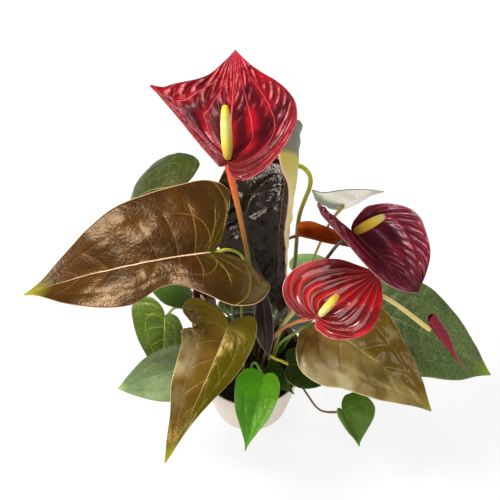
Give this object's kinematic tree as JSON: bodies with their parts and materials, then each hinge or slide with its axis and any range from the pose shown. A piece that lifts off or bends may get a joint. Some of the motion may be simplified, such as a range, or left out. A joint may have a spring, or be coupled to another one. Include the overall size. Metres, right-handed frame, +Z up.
{
  "type": "potted flamingo flower",
  "caption": "Dark-leaved flamingo flower with glossy red spathes, yellow spadices and heart-shaped leaves on thin stalks, in a plain tapered pot filled with soil.",
  "frame": {"origin": "middle of the underside of the pot", "axes": "+Z up; the front of the plant faces -Y, and the big bronze leaf reaches out towards -X"},
  "size_m": [0.4806, 0.3108, 0.4323],
  "materials": {
    "pot": "satin",
    "soil": "matte",
    "bronze_leaf": "gloss",
    "olive_leaf": "gloss",
    "green_leaf": "satin",
    "fresh_leaf": "satin",
    "grey_leaf": "satin",
    "bright_leaf": "gloss",
    "deep_green_leaf": "satin",
    "pale_leaf": "satin",
    "dark_leaf": "gloss",
    "plum_leaf": "satin",
    "orange_leaf": "gloss",
    "crimson_spathe": "gloss",
    "purple_spathe": "gloss",
    "scarlet_spathe": "gloss",
    "spadix": "matte",
    "petiole_green": "satin",
    "petiole_yellow": "satin",
    "petiole_brown": "satin",
    "peduncle_orange": "satin",
    "peduncle_cream": "satin"
  },
  "bodies": {
    "root": {"pot": "pot", "leaf_bronze_left_blade": "bronze_leaf", "leaf_green_back_left_blade": "green_leaf", "leaf_olive_front_left_blade": "olive_leaf", "leaf_green_left_blade": "fresh_leaf", "leaf_grey_low_left_blade": "grey_leaf", "leaf_bright_front_blade": "bright_leaf", "leaf_olive_front_right_blade": "olive_leaf", "leaf_dark_right_blade": "grey_leaf", "leaf_small_low_right_blade": "fresh_leaf", "leaf_dark_low_middle_blade": "deep_green_leaf", "leaf_dark_by_rim_blade": "deep_green_leaf", "leaf_pale_back_right_blade": "pale_leaf", "leaf_dark_hanging_blade": "dark_leaf", "leaf_narrow_dark_blade": "plum_leaf", "leaf_orange_young_blade": "orange_leaf", "leaf_upper_right_blade": "pale_leaf", "leaf_green_under_bronze_blade": "green_leaf", "leaf_back_low_blade": "green_leaf", "leaf_back_right_blade": "green_leaf", "bloom_crimson_spathe": "crimson_spathe", "bloom_crimson_spadix": "spadix", "bloom_purple_spathe": "purple_spathe", "bloom_purple_spadix": "spadix", "bloom_scarlet_spathe": "scarlet_spathe", "bloom_scarlet_spadix": "spadix", "bloom_rolled_spathe": "crimson_spathe", "bloom_rolled_spadix": "spadix", "bloom_small_purple_spathe": "purple_spathe", "bloom_small_purple_spadix": "spadix", "soil": "soil", "leaf_bronze_left_petiole": "petiole_green", "leaf_green_back_left_petiole": "petiole_green", "leaf_olive_front_left_petiole": "petiole_green", "leaf_green_left_petiole": "petiole_green", "leaf_grey_low_left_petiole": "petiole_green", "leaf_bright_front_petiole": "petiole_yellow", "leaf_olive_front_right_petiole": "petiole_green", "leaf_dark_right_petiole": "petiole_green", "leaf_small_low_right_petiole": "petiole_brown", "leaf_dark_low_middle_petiole": "petiole_yellow", "leaf_dark_by_rim_petiole": "petiole_green", "leaf_pale_back_right_petiole": "petiole_green", "leaf_dark_hanging_petiole": "petiole_green", "leaf_narrow_dark_petiole": "petiole_brown", "leaf_orange_young_petiole": "petiole_brown", "leaf_upper_right_petiole": "petiole_green", "leaf_green_under_bronze_petiole": "petiole_yellow", "leaf_back_low_petiole": "petiole_green", "leaf_back_right_petiole": "petiole_green", "bloom_crimson_peduncle": "peduncle_orange", "bloom_purple_peduncle": "petiole_brown", "bloom_scarlet_peduncle": "peduncle_orange", "bloom_rolled_peduncle": "peduncle_cream", "bloom_small_purple_peduncle": "peduncle_cream"}
  },
  "joints": []
}
